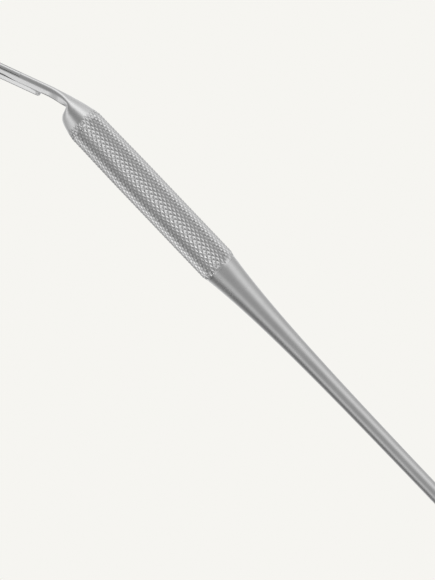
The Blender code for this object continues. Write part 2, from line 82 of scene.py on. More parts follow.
# -------------------------------------------------------- joints inside the grip
JOINT_GAP = 0.004 * MM
TENON_R = 2.44 * MM
TENON_LEN = 11.0 * MM
STUD_HOLE_R = 1.56 * MM
STUD_HOLE_DEPTH = 13.5 * MM
CHAMFER = 0.3 * MM

# ------------------------------------------------------------------ rear shank
SHANK_R = 1.527 * MM
SHANK_FLARE = 2.13 * MM
SHANK_DECAY = 16.29 * MM
SHANK_END_FLAT_R = 1.05 * MM
SHANK_END_ROUND = 0.45 * MM
SHANK_STEPS = 120

# ------------------------------------------------------------- neck and tongue
# Names in _S are distances along the tongue from its origin and names in _W
# distances across it. The back is the -W side, the face the +W side.
CRANK = math.radians(23.0)
TONGUE_X = 127.25 * MM
TONGUE_Y = 0.08 * MM
TONGUE_W = 2.95 * MM
TONGUE_HALF_T = 0.75 * MM
TONGUE_END_S = 15.9 * MM
TONGUE_END_NARROW = 0.25 * MM  # taken off each side at the end
TONGUE_NARROW_LEN = 3.0 * MM
BACK_ROUND = 1.15 * MM         # how far the rounded back reaches across
SEAT_Z = 0.15 * MM
NECK_HALF_W = 1.05 * MM
NECK_BLEND_S = -2.2 * MM
NECK_EXTRA_HALF_T = 0.03 * MM
HEEL_S = -0.35 * MM
HEEL_ROUND = 0.58 * MM
SHOULDER_S = 5.0 * MM
# the raised key between the two seats leans in towards its foot
KEY_BACK_W = 0.80 * MM
KEY_FACE_W = 2.00 * MM
KEY_TAPER_S = 5.0 * MM
KEY_WAIST_W = 1.70 * MM
KEY_WAIST_S = 8.0 * MM
KEY_END_W = 1.50 * MM
KEY_UNDERCUT = 0.22 * MM
KEY_SLOPE = KEY_UNDERCUT / (TONGUE_HALF_T - SEAT_Z)

SECTION_POINTS = 96
ROUND_POWER = 2.0              # superellipse power of a circle
FLAT_POWER = 7.0               # and of the tongue's nearly flat face
NOSE_REAR_R = 3.712 * MM
BLEND_START_X, BLEND_END_X = 120.7, 122.9  # mm, round nose to flat-faced neck

# stations of the nose and neck in mm: x, centre y, plane angle in degrees,
# half width, half height
NOSE_STATIONS = [
    (115.62, 0.00, 0.0, 3.69, 3.69),
    (116.05, 0.00, 0.0, 3.61, 3.61),
    (117.00, 0.00, 0.0, 3.38, 3.38),
    (118.00, -0.02, 0.0, 3.11, 3.12),
    (118.73, -0.06, 0.3, 2.86, 2.91),
    (119.16, -0.11, 0.9, 2.67, 2.80),
    (119.51, -0.19, 2.0, 2.46, 2.66),
    (119.80, -0.29, 3.3, 2.26, 2.52),
    (120.02, -0.43, 5.0, 2.04, 2.38),
    (120.21, -0.60, 7.5, 1.78, 2.24),
    (120.38, -0.80, 11.4, 1.52, 2.12),
    (120.61, -0.98, 17.0, 1.25, 1.98),
    (120.95, -1.02, 20.5, 1.13, 1.80),
    (121.52, -0.90, 22.6, 1.09, 1.54),
    (122.20, -0.71, 23.0, 1.075, 1.28),
    (122.99, -0.45, 23.0, 1.06, 1.04),
    (123.95, -0.12, 23.0, 1.05, 0.88),
]
# stations along the tongue, in mm: before the heel, past it, and to the end;
# the heel's own stations are shares of its rounding
NECK_STATIONS = [-2.1, -1.8, -1.5, -1.3, -1.1, -0.95, -0.8, -0.65, -0.5, -0.4]
HEEL_SHARES = [0.01, 0.04, 0.09, 0.16, 0.25, 0.36, 0.48, 0.62, 0.8, 1.0]
TONGUE_STATIONS = [
    0.8, 1.5, 2.4, 3.2, 4.1, 5.0, 7.0, 9.0, 11.0, 12.9,
    13.3, 13.7, 14.1, 14.5, 14.9, 15.3, 15.6, TONGUE_END_S / MM,
]

# ----------------------------------------------------------------------- blade
BLADE_T = 0.55 * MM
BLADE_GAP = 0.06 * MM
BLADE_BOTTOM = SEAT_Z + BLADE_GAP
BLADE_TOP = TONGUE_HALF_T
PLATE_EDGE_R = 0.24 * MM
SLOT_END_S = 16.6 * MM
SLOT_CORNER_S = 0.45 * MM
SLOT_CORNER_W = 0.22 * MM
SLOT_BACK_PLAY = 0.13 * MM
SLOT_FACE_PLAY = 0.003 * MM
SHOULDER_PLAY = 0.010 * MM
SPADE_HALF_W = 2.35 * MM
SPADE_FULL_S = 24.0 * MM
SPADE_ROUND_S = 26.3 * MM
BLADE_TIP_S = 29.0 * MM
SPADE_T = 0.42 * MM
SPADE_DISH = 0.30 * MM         # the long edges stand this much above the middle
SPADE_LIFT = 0.55 * MM
SPADE_TOP_SPACING = 0.72       # powers that crowd or spread points across
SPADE_BOTTOM_SPACING = 0.5
SPADE_EDGE_POWERS = (9, 0.55)  # how squarely the thickness ends at the edges

BLADE_STATIONS = [-1.0, 0.8, 3.0, 5.5, 9.5, 13.0, 16.0, 16.8]  # mm along
BLADE_STATIONS += [17.2 + 0.35 * i for i in range(20)]
BLADE_STATIONS += [24.2, 24.6, 25.0, 25.4, 25.8, 26.1, 26.3]
BLADE_STATIONS += [
    SPADE_ROUND_S / MM
    + (BLADE_TIP_S - SPADE_ROUND_S) / MM * math.sin(math.pi / 2.0 * i / 20.5)
    for i in range(1, 21)
]

PIP_S, PIP_W = 0.20 * MM, 2.29 * MM
PIP_SINK = 0.10 * MM
PIP_POINTS = 32
# the pip's rings in mm: radius, height
PIP_RINGS = [
    (0.25, 0.0), (0.25, 0.115), (0.235, 0.150), (0.205, 0.185),
    (0.165, 0.212), (0.12, 0.228), (0.06, 0.238),
]

EDGE_BREAK = 0.004 * MM        # rounding of the milled edges

# ------------------------------------------------------------ viewing direction
# The view comes from above, rolled about the handle's axis.
ROLL = math.radians(22.0)
VIEW_TURN = math.radians(46.4)  # how far the handle is turned within the view
TO_CAMERA = Vector((0.0, -math.sin(ROLL), math.cos(ROLL)))
ACROSS = Vector((0.0, math.cos(ROLL), math.sin(ROLL)))
ALONG = Vector((1.0, 0.0, 0.0))


# --------------------------------------------------------------- curve helpers
def smoothstep(start, end, x):
    t = min(1.0, max(0.0, (x - start) / (end - start)))
    return t * t * (3.0 - 2.0 * t)


def signed_power(value, power):
    return math.copysign(abs(value) ** power, value)


def quarter_turn(parts, last):
    """(sine, cosine) at steps 1 to last of a quarter turn split into parts."""
    angles = [math.pi / 2.0 * i / parts for i in range(1, last + 1)]
    return [(math.sin(angle), math.cos(angle)) for angle in angles]


def spline(stations, parts):
    """Catmull-Rom through tuples, each gap split into parts."""
    out = []
    for i in range(len(stations) - 1):
        before = stations[max(0, i - 1)]
        start, end = stations[i], stations[i + 1]
        after = stations[min(len(stations) - 1, i + 2)]
        for k in range(parts):
            t = k / parts
            out.append(
                tuple(
                    b
                    + 0.5
                    * t
                    * ((c - a) + t * ((2 * a - 5 * b + 4 * c - d) + t * (3 * b - a - 3 * c + d)))
                    for a, b, c, d in zip(before, start, end, after)
                )
            )
    out.append(stations[-1])
    return out


# --------------------------------------------------------------- mesh helpers
def new_object(name, shape, material=None):
    """Turns a bmesh into an object of the scene."""
    bmesh.ops.recalc_face_normals(shape, faces=shape.faces)
    mesh = bpy.data.meshes.new(name)
    shape.to_mesh(mesh)
    shape.free()
    part = bpy.data.objects.new(name, mesh)
    bpy.context.scene.collection.objects.link(part)
    if material is not None:
        mesh.materials.append(material)
    return part


def loft(rings):
    """A bmesh skinned over rings of points, with closed ends."""
    shape = bmesh.new()
    loops = [[shape.verts.new(point) for point in ring] for ring in rings]
    count = len(rings[0])
    for this, following in zip(loops, loops[1:]):
        for i in range(count):
            j = (i + 1) % count
            shape.faces.new((this[i], this[j], following[j], following[i]))
    shape.faces.new(list(reversed(loops[0])))
    shape.faces.new(loops[-1])
    return shape


def shade(part, degrees):
    part.data.shade_smooth()
    part.data.set_sharp_from_angle(angle=math.radians(degrees))


def apply_modifiers(part):
    bpy.context.view_layer.update()
    deps = bpy.context.evaluated_depsgraph_get()
    mesh = bpy.data.meshes.new_from_object(part.evaluated_get(deps))
    old = part.data
    part.modifiers.clear()
    part.data = mesh
    bpy.data.meshes.remove(old)
    mesh.name = part.name


def boolean(part, cutter, operation="DIFFERENCE"):
    mod = part.modifiers.new(cutter.name, "BOOLEAN")
    mod.operation = operation
    mod.solver = "EXACT"
    mod.object = cutter
    apply_modifiers(part)
    bpy.data.objects.remove(cutter)


def break_edges(part, degrees):
    """Rounds the sharp edges a little, as tumbling and polishing do."""
    shape = bmesh.new()
    shape.from_mesh(part.data)
    bmesh.ops.remove_doubles(shape, verts=shape.verts, dist=2e-7)
    bmesh.ops.dissolve_degenerate(shape, edges=shape.edges, dist=2e-7)
    shape.to_mesh(part.data)
    shape.free()
    mod = part.modifiers.new("edges", "BEVEL")
    mod.width = EDGE_BREAK
    mod.segments = 2
    mod.limit_method = "ANGLE"
    mod.angle_limit = math.radians(degrees)
    mod.use_clamp_overlap = True
    mod.harden_normals = False
    apply_modifiers(part)


def weight_normals(part):
    """Flat faces stay flat beside their small rounded edges."""
    mod = part.modifiers.new("normals", "WEIGHTED_NORMAL")
    mod.mode = "FACE_AREA"
    mod.weight = 50
    mod.keep_sharp = True
    apply_modifiers(part)


def finish_milled(part, break_angle, sharp_angle):
    break_edges(part, break_angle)
    shade(part, sharp_angle)
    weight_normals(part)


def place_on_tongue(part):
    """Moves a part from (along, across, z) to its place on the cranked tongue."""
    part.data.transform(
        Matrix.Translation((TONGUE_X, TONGUE_Y, 0.0)) @ Matrix.Rotation(CRANK, 4, "Z")
    )


def cut(part, name, outline, bottom, top):
    """Cuts an upright prism away; outline holds (along, across, lean).

    Lean +1 or -1 moves that wall across by the key's slope below the tongue's top.
    """
    rings = [
        [(s, w + lean * KEY_SLOPE * (TONGUE_HALF_T - z), z) for s, w, lean in outline]
        for z in (bottom, top)
    ]
    cutter = new_object(name, loft(rings))
    place_on_tongue(cutter)
    boolean(part, cutter)


# ------------------------------------------------------------------ materials
class Graph:
    """Short ways to write the node tree of a material or world."""

    def __init__(self, owner):
        owner.use_nodes = True
        self.nodes = owner.node_tree.nodes
        self.link = owner.node_tree.links.new

    def node(self, kind, **settings):
        node = self.nodes.new(kind)
        for key, value in settings.items():
            setattr(node, key, value)
        return node

    def put(self, value, socket):
        """Links value when it is a socket, otherwise sets it."""
        if hasattr(value, "is_linked"):
            self.link(value, socket)
        else:
            socket.default_value = value

    def math(self, operation, first, second=0.0, clamp=False):
        node = self.node("ShaderNodeMath", operation=operation, use_clamp=clamp)
        self.put(first, node.inputs[0])
        self.put(second, node.inputs[1])
        return node.outputs[0]

    def add(self, first, second):
        return self.math("ADD", first, second)

    def sub(self, first, second):
        return self.math("SUBTRACT", first, second)

    def mul(self, first, second, clamp=False):
        return self.math("MULTIPLY", first, second, clamp)

    def noise(self, along, across, detail, rough, distortion=0.0, turn=0.0):
        """Noise with along cycles per mm on X and across on Y and Z, turned about Z."""
        coords = self.node("ShaderNodeTexCoord")
        turned = self.node("ShaderNodeMapping")
        turned.inputs["Rotation"].default_value = (0.0, 0.0, turn)
        self.link(coords.outputs["Object"], turned.inputs["Vector"])
        scaled = self.node("ShaderNodeMapping")
        scaled.inputs["Scale"].default_value = (1000.0 * along, 1000.0 * across, 1000.0 * across)
        self.link(turned.outputs[0], scaled.inputs["Vector"])
        node = self.node("ShaderNodeTexNoise")
        node.inputs["Scale"].default_value = 1.0
        node.inputs["Detail"].default_value = detail
        node.inputs["Roughness"].default_value = rough
        node.inputs["Distortion"].default_value = distortion
        self.link(scaled.outputs[0], node.inputs["Vector"])
        return node.outputs["Fac"]

    def ramp(self, value, stops):
        """Maps value through grey stops of (position, level)."""
        node = self.node("ShaderNodeValToRGB")
        elements = node.color_ramp.elements
        while len(elements) > 1:
            elements.remove(elements[-1])
        elements[0].position = stops[0][0]
        for position, _ in stops[1:]:
            elements.new(position)
        for element, (_, level) in zip(elements, stops):
            element.color = (level, level, level, 1.0)
        self.link(value, node.inputs[0])
        return node.outputs[0]

    def mix(self, share, first, second, blend="MIX"):
        """Mixes two RGBA colours or colour sockets."""
        node = self.node("ShaderNodeMix", data_type="RGBA", blend_type=blend)
        for index, value in ((0, share), (6, first), (7, second)):
            self.put(value, node.inputs[index])
        return node.outputs[2]

    def darken(self, tone, texture, share, stops):
        """Multiplies tone by a share of the texture's grey ramp."""
        return self.mix(share, tone, self.ramp(texture, stops), "MULTIPLY")

    def bump(self, height, distance, strength, normal=None):
        node = self.node("ShaderNodeBump")
        node.inputs["Distance"].default_value = distance
        node.inputs["Strength"].default_value = strength
        self.link(height, node.inputs["Height"])
        if normal is not None:
            self.link(normal, node.inputs["Normal"])
        return node.outputs[0]

    def metal(self, tone, roughness, normal):
        surface = self.nodes["Principled BSDF"]
        self.link(tone, surface.inputs["Base Color"])
        self.link(roughness, surface.inputs["Roughness"])
        self.link(normal, surface.inputs["Normal"])
        surface.inputs["Metallic"].default_value = 1.0


def satin_steel(name, colour, rough, direction=None, line_pitch=0.11, run_out=False):
    """Satin stainless steel, its polishing lines line_pitch mm apart.

    They run along direction, an angle about Z, or without one in rings about X.
    """
    mat = bpy.data.materials.new(name)
    graph = Graph(mat)
    # cycles per mm (along, across) of the fine lines, wider bands and deeper marks
    if direction is None:
        turn = 0.0
        fine, medium, scratch = (1.0 / line_pitch, 0.25), (1.6, 0.18), (3.2, 0.35)
    else:
        turn = -direction
        fine, medium, scratch = (0.22, 1.0 / line_pitch), (0.14, 2.4), (0.30, 4.5)
    lines = graph.noise(*fine, detail=2.0, rough=0.6, turn=turn)
    bands = graph.noise(*medium, detail=3.0, rough=0.55, turn=turn)
    marks = graph.noise(*scratch, detail=5.0, rough=0.7, distortion=0.15, turn=turn)
    cloud = graph.noise(along=0.16, across=0.42, detail=4.0, rough=0.55, distortion=0.4)
    grain = graph.noise(along=7.0, across=7.0, detail=3.0, rough=0.7)
    waves = graph.noise(along=0.30, across=0.55, detail=1.0, rough=0.4)

    # colour: the steel's own tone, a little darker in the lines and cloudy wipe marks
    tone = graph.ramp(cloud, [(0.25, colour * 0.955), (0.5, colour), (0.75, colour * 1.03)])
    tone = graph.darken(tone, lines, share=0.6, stops=[(0.25, 0.93), (0.75, 1.0)])
    tone = graph.darken(tone, grain, share=0.5, stops=[(0.2, 0.95), (0.8, 1.0)])

    # roughness: an even base, raised by each texture's share
    roughness = rough - 0.085
    for texture, share in ((bands, 0.07), (cloud, 0.06), (marks, 0.05)):
        roughness = graph.add(roughness, graph.mul(texture, share))
    roughness = graph.math("MINIMUM", roughness, 0.9)

    # relief: fine polishing lines, rarer deeper marks, a faint waviness
    normal = graph.bump(lines, distance=0.0016 * MM, strength=0.8)
    normal = graph.bump(marks, distance=0.0026 * MM, strength=0.7, normal=normal)
    normal = graph.bump(waves, distance=0.010 * MM, strength=0.6, normal=normal)
    if run_out:
        height = knurl_run_out(graph)
        normal = graph.bump(height, distance=RUN_OUT_DEPTH, strength=1.0, normal=normal)
    graph.metal(tone, roughness, normal)
    return mat


def knurl_run_out(graph):
    """Height of the knurl's grooves as they die out in front of the grip."""
    coords = graph.node("ShaderNodeTexCoord")
    split = graph.node("ShaderNodeSeparateXYZ")
    graph.link(coords.outputs["Object"], split.inputs[0])
    x, y, z = split.outputs
    turn = graph.math("ARCTAN2", graph.mul(y, -1.0), z)
    around = graph.mul(turn, KNURL_STARTS / (2.0 * math.pi))
    along = graph.mul(graph.sub(x, KNURL_START_X), 1.0 / KNURL_PITCH_X)
    walls = []
    for hand in (1.0, -1.0):
        phase = graph.add(around, graph.mul(along, hand))
        walls.append(graph.mul(graph.math("PINGPONG", phase, 0.5), 2.0))
    # the diamonds are topped off at this height, which becomes zero relief
    plateau = 0.62
    height = graph.math("MINIMUM", *walls)
    height = graph.math("SMOOTH_MIN", height, plateau)
    past = graph.mul(graph.sub(x, GRIP_FRONT_X), 1.0 / RUN_OUT_LEN)
    fade = graph.math("SUBTRACT", 1.0, past, clamp=True)
    fade = graph.math("POWER", fade, 1.3)
    return graph.mul(graph.sub(height, plateau), fade)


def knurled_steel(name, colour):
    """Rolled knurl: points rubbed bright, flanks satin, grooves dull and darkened by painted
    shade.
    """
    mat = bpy.data.materials.new(name)
    graph = Graph(mat)
    attribute = graph.node("ShaderNodeAttribute", attribute_name="knurl_height")
    height = attribute.outputs["Fac"]
    cloud = graph.noise(along=0.25, across=0.5, detail=4.0, rough=0.55, distortion=0.3)
    grain = graph.noise(along=9.0, across=9.0, detail=4.0, rough=0.7)
    dirt = graph.noise(along=1.1, across=2.2, detail=4.0, rough=0.65)
    dents = graph.noise(along=2.6, across=2.6, detail=3.0, rough=0.6)

    # brightness by height, from the groove's floor to the point: the darker grooves are painted
    # shade, the brighter points are rubbed steel
    shares = [(0.00, 0.70), (0.15, 0.86), (0.32, 1.00), (0.86, 1.06), (1.00, 1.14)]
    tone = graph.ramp(height, [(position, colour * share) for position, share in shares])
    tone = graph.darken(tone, grain, share=0.5, stops=[(0.2, 0.93), (0.8, 1.0)])
    tone = graph.darken(tone, cloud, share=0.5, stops=[(0.25, 0.94), (0.75, 1.0)])
    # a little grey residue in the lowest quarter of the grooves
    residue_colour = (0.36, 0.355, 0.345, 1.0)
    low = graph.math("SUBTRACT", 1.0, graph.mul(height, 4.0, clamp=True), clamp=True)
    residue = graph.mul(low, graph.mul(dirt, 0.30, clamp=True))
    tone = graph.mix(residue, tone, residue_colour)

    # roughness by height, at full weight, varied by the grain and cloud
    roughness = graph.ramp(height, [(0.0, 0.36), (0.15, 0.21), (0.8, 0.165), (1.0, 0.14)])
    roughness = graph.add(graph.mul(roughness, 1.0), graph.mul(grain, 0.05))
    roughness = graph.add(roughness, graph.sub(graph.mul(cloud, 0.07), 0.05))

    normal = graph.bump(grain, distance=0.0020 * MM, strength=0.8)
    normal = graph.bump(dents, distance=0.006 * MM, strength=0.6, normal=normal)
    graph.metal(tone, roughness, normal)
    return mat


STEEL = 0.62                   # grey level of the handle's steel
shank_steel = satin_steel("shank_satin_steel", colour=STEEL, rough=0.25)
neck_steel = satin_steel(
    "neck_satin_steel", colour=STEEL, rough=0.22, direction=CRANK, run_out=True
)
blade_steel = satin_steel(
    "blade_fine_satin_steel", colour=0.66, rough=0.22, direction=CRANK, line_pitch=0.08
)
stud_steel = satin_steel("stud_turned_steel", colour=0.52, rough=0.38, line_pitch=0.2)
knurl_steel = knurled_steel("knurled_steel", colour=STEEL)


# ----------------------------------------------------------- the knurled grip
def grip_top(x):
    """Radius over the knurl's points, turned down towards both ends."""
    taper = smoothstep(GRIP_FRONT_X - GRIP_TAPER_LEN, GRIP_FRONT_X, x)
    peak = GRIP_R + (GRIP_FRONT_R - GRIP_R) * taper
    rear = GRIP_END_R + REAR_SLOPE * (x - GRIP_REAR_X)
    rear += REAR_RISE * smoothstep(GRIP_REAR_X, GRIP_REAR_X + REAR_RISE_LEN, x)
    return min(peak, rear, GRIP_SEAM_R + FRONT_SLOPE * (GRIP_FRONT_X - x))


def knurl_ring(x, row):
    """(radius, knurl height) of each point round the grip at x."""
    top = grip_top(x)
    # the pattern fades at both ends
    depth = 1.0 - smoothstep(GRIP_FRONT_X - 0.7 * MM, GRIP_FRONT_X + 0.5 * MM, x)
    depth *= smoothstep(GRIP_REAR_X, GRIP_REAR_X + 1.1 * MM, x)
    samples = []
    for i in range(KNURL_COLS):
        one = (i + row) % CELL_GRID
        other = (i - row) % CELL_GRID
        height = KNURL_PROFILE[min(one, CELL_GRID - one, other, CELL_GRID - other)]
        samples.append(
            (top - KNURL_DEPTH * (1.0 - height) * depth, 1.0 - (1.0 - height) * depth)
        )
    return samples


def knurl_sections():
    """Stations along the grip: x, pattern row, and row that splits the next cells."""
    step = KNURL_PITCH_X / 2.0 / CELL_STEPS
    sections = []
    row = math.ceil((GRIP_REAR_X - KNURL_START_X) / step - 1e-6)
    while KNURL_START_X + row * step < GRIP_FRONT_X - 1e-8:
        sections.append((KNURL_START_X + row * step, row, row))
        row += 1
    first_x, first_row, _ = sections[0]
    if first_x - GRIP_REAR_X > 0.02 * MM:
        split_row = round(first_row - (first_x - GRIP_REAR_X) / step)
        sections.insert(0, (GRIP_REAR_X, first_row, split_row))
    last_row = row - 1
    sections.append((GRIP_FRONT_X, last_row, last_row))
    return sections


def make_grip():
    shape = bmesh.new()
    heights = []

    def ring(x, samples):
        out = []
        for i, (radius, height) in enumerate(samples):
            angle = 2.0 * math.pi * i / KNURL_COLS
            point = (x, -radius * math.sin(angle), radius * math.cos(angle))
            out.append(shape.verts.new(point))
            heights.append(height)
        return out

    def plain(x, radius):
        return ring(x, [(radius, 0.5)] * KNURL_COLS)

    sections = knurl_sections()
    rows = [ring(x, knurl_ring(x, row)) for x, row, _ in sections]
    for this, following, (_, _, split_row) in zip(rows, rows[1:], sections):
        for i in range(KNURL_COLS):
            j = (i + 1) % KNURL_COLS
            # split each cell along the groove that crosses it
            if (i + split_row + 1) % CELL_GRID == 0:
                shape.faces.new((this[i], this[j], following[i]))
                shape.faces.new((this[j], following[j], following[i]))
            else:
                shape.faces.new((this[i], this[j], following[j]))
                shape.faces.new((this[i], following[j], following[i]))

    # end faces with a small countersink, and the bore
    rear = [
        plain(GRIP_REAR_X, BORE_R + COUNTERSINK),
        plain(GRIP_REAR_X + COUNTERSINK, BORE_R),
    ]
    front = [
        plain(GRIP_FRONT_X, BORE_R + COUNTERSINK),
        plain(GRIP_FRONT_X - COUNTERSINK, BORE_R),
    ]
    chain = [rows[0], *rear, front[1], front[0], rows[-1]]
    for this, following in zip(chain, chain[1:]):
        for i in range(KNURL_COLS):
            j = (i + 1) % KNURL_COLS
            shape.faces.new((this[j], this[i], following[i], following[j]))
    part = new_object("knurled_grip", shape, knurl_steel)
    attribute = part.data.attributes.new("knurl_height", "FLOAT", "POINT")
    attribute.data.foreach_set("value", heights)
    shade(part, 22.0)
    return part


# ------------------------------------------------------------- the rear shank
def shank_radius(x):
    return SHANK_R + SHANK_FLARE * math.exp(-(GRIP_REAR_X - x) / SHANK_DECAY)


def shank_profile():
    """(radius, x) from the stud hole's floor, over the tenon, to the free end."""
    front = GRIP_REAR_X - JOINT_GAP
    tip = GRIP_REAR_X + TENON_LEN
    front_r = shank_radius(front)
    points = [
        (0.0, tip - STUD_HOLE_DEPTH),
        (STUD_HOLE_R, tip - STUD_HOLE_DEPTH),
        (STUD_HOLE_R, tip - CHAMFER),
        (STUD_HOLE_R + CHAMFER, tip),
        (TENON_R - CHAMFER, tip),
        (TENON_R, tip - CHAMFER),
        (TENON_R, front),
        (front_r - 0.03 * MM, front),
        (front_r - 0.008 * MM, front - 0.008 * MM),
    ]
    for i in range(SHANK_STEPS + 1):
        # stations are closer together near the grip
        share = (i / SHANK_STEPS) ** 1.25
        x = (front - 0.06 * MM) * (1.0 - share) + SHANK_END_ROUND * share
        points.append((shank_radius(x), x))
    end_r = shank_radius(SHANK_END_ROUND)
    for sine, cosine in quarter_turn(12, 12):
        points.append(
            (
                end_r - (end_r - SHANK_END_FLAT_R) * (1.0 - cosine),
                SHANK_END_ROUND - SHANK_END_ROUND * sine,
            )
        )
    return points + [(SHANK_END_FLAT_R * 0.5, 0.0), (0.0, 0.0)]


def make_shank():
    # turned about Z, then laid along X
    shape = bmesh.new()
    verts = [shape.verts.new((radius, 0.0, x)) for radius, x in shank_profile()]
    for pair in zip(verts, verts[1:]):
        shape.edges.new(pair)
    part = new_object("tapered_shank", shape)
    mod = part.modifiers.new("turn", "SCREW")
    mod.axis = "Z"
    mod.angle = 2.0 * math.pi
    mod.steps = mod.render_steps = 128
    mod.use_merge_vertices = True
    mod.merge_threshold = 0.000001
    apply_modifiers(part)
    part.data.transform(Matrix.Rotation(math.pi / 2.0, 4, "Y"))
    shape = bmesh.new()
    shape.from_mesh(part.data)
    bmesh.ops.recalc_face_normals(shape, faces=shape.faces)
    shape.to_mesh(part.data)
    shape.free()
    part.data.materials.append(shank_steel)
    shade(part, 35.0)
    return part


# --------------------------------------------------- the nose, neck and tongue
def section(centre, angle, back, face, half_height, power):
    """An upright ring: elliptic towards the back, superelliptic towards the face."""
    centre_x, centre_y = centre
    across_x, across_y = -math.sin(angle), math.cos(angle)
    ring = []
    for i in range(SECTION_POINTS):
        turn = 2.0 * math.pi * (i + 0.5) / SECTION_POINTS
        cosine, sine = math.cos(turn), math.sin(turn)
        if cosine >= 0.0:
            across = face * cosine ** (2.0 / power)
            z = half_height * signed_power(sine, 2.0 / power)
        else:
            across = back * cosine
            z = half_height * sine
        ring.append((centre_x + across_x * across, centre_y + across_y * across, z))
    return ring


def disc(x, radius):
    return section((x, 0.0), 0.0, radius, radius, radius, ROUND_POWER)


def nose_section(x, y, degrees, half_width, half_height):
    """A ring at a spline point in mm; the round nose turns into a flat-faced neck."""
    share = smoothstep(BLEND_START_X, BLEND_END_X, x)
    back = half_width + (BACK_ROUND / MM - half_width) * share
    angle = math.radians(degrees)
    shift = back - half_width
    return section(
        ((x - math.sin(angle) * shift) * MM, (y + math.cos(angle) * shift) * MM),
        angle,
        back * MM,
        (2.0 * half_width - back) * MM,
        half_height * MM,
        ROUND_POWER + (FLAT_POWER - ROUND_POWER) * share,
    )


def tongue_section(along):
    # the heel widens from the neck to the tongue in a quarter round
    heel = min(1.0, max(0.0, (along - HEEL_S) / HEEL_ROUND))
    widened = math.sqrt(1.0 - (1.0 - heel) ** 2)
    width = 2.0 * NECK_HALF_W + (TONGUE_W - 2.0 * NECK_HALF_W) * widened
    thinned = smoothstep(NECK_BLEND_S, HEEL_S, along)
    narrow = TONGUE_END_NARROW * smoothstep(TONGUE_END_S - TONGUE_NARROW_LEN, TONGUE_END_S, along)
    centre = (
        TONGUE_X + along * math.cos(CRANK) - BACK_ROUND * math.sin(CRANK),
        TONGUE_Y + along * math.sin(CRANK) + BACK_ROUND * math.cos(CRANK),
    )
    return section(
        centre,
        CRANK,
        BACK_ROUND - narrow,
        width - BACK_ROUND - narrow,
        TONGUE_HALF_T + NECK_EXTRA_HALF_T * (1.0 - thinned),
        FLAT_POWER,
    )


def make_holder():
    front = GRIP_FRONT_X + JOINT_GAP
    rear = GRIP_FRONT_X - TENON_LEN
    # the stud hole, the tenon round it and the nose's rear face
    rings = [
        disc(rear + STUD_HOLE_DEPTH, 0.05 * MM),
        disc(rear + STUD_HOLE_DEPTH, STUD_HOLE_R),
        disc(rear + CHAMFER, STUD_HOLE_R),
        disc(rear, STUD_HOLE_R + CHAMFER),
        disc(rear, TENON_R - CHAMFER),
        disc(rear + CHAMFER, TENON_R),
        disc(front, TENON_R),
        disc(front, NOSE_REAR_R),
    ]
    rings += [nose_section(*station) for station in spline(NOSE_STATIONS, 4)]
    heel = [(HEEL_S + HEEL_ROUND * share) / MM for share in HEEL_SHARES]
    rings += [tongue_section(s * MM) for s in NECK_STATIONS + heel + TONGUE_STATIONS]
    part = new_object("nose_neck_and_tongue", loft(rings), neck_steel)

    # the seats either side of the key
    end = TONGUE_END_S + 2.0 * MM
    clear_back = -1.0 * MM
    clear_face = TONGUE_W + 1.0 * MM
    face_seat = [
        (HEEL_S - BLADE_GAP, clear_face, 0.0),
        (HEEL_S - BLADE_GAP, KEY_FACE_W, -1.0),
        (KEY_TAPER_S, KEY_FACE_W, -1.0),
        (KEY_WAIST_S, KEY_WAIST_W, -1.0),
        (end, KEY_END_W, -1.0),
        (end, clear_face, 0.0),
    ]
    back_seat = [
        (SHOULDER_S, clear_back, 0.0),
        (end, clear_back, 0.0),
        (end, KEY_BACK_W, 1.0),
        (SHOULDER_S, KEY_BACK_W, 1.0),
    ]
    for name, outline in (("face_seat", face_seat), ("back_seat", back_seat)):
        cut(part, name, outline, SEAT_Z, TONGUE_HALF_T + 0.6 * MM)
    finish_milled(part, break_angle=28.0, sharp_angle=32.0)
    return part


# ------------------------------------------------------------ the spade blade
def plate_outline():
    """(across, z) of the plate on the tongue: its upper points and lower points."""
    foot = math.asin(BLADE_BOTTOM / BLADE_TOP)
    upper = []
    for i in range(13):
        angle = foot + (math.pi / 2.0 - foot) * i / 12
        upper.append((BACK_ROUND * (1.0 - math.cos(angle)), BLADE_TOP * math.sin(angle)))
    edge = TONGUE_W - PLATE_EDGE_R
    upper += [(w, BLADE_TOP) for w in (1.55 * MM, 1.85 * MM, 2.25 * MM, edge)]
    for sine, cosine in quarter_turn(6, 6):
        upper.append(
            (
                TONGUE_W - PLATE_EDGE_R * (1.0 - sine),
                BLADE_TOP - PLATE_EDGE_R * (1.0 - cosine),
            )
        )
    lower = [
        (TONGUE_W - 0.005 * MM, BLADE_BOTTOM + 0.12 * MM),
        (TONGUE_W - 0.03 * MM, BLADE_BOTTOM + 0.05 * MM),
        (TONGUE_W - 0.09 * MM, BLADE_BOTTOM),
    ]
    lower += [(w * MM, BLADE_BOTTOM) for w in (2.25, 1.7, 1.2, 0.7)]
    return upper, lower


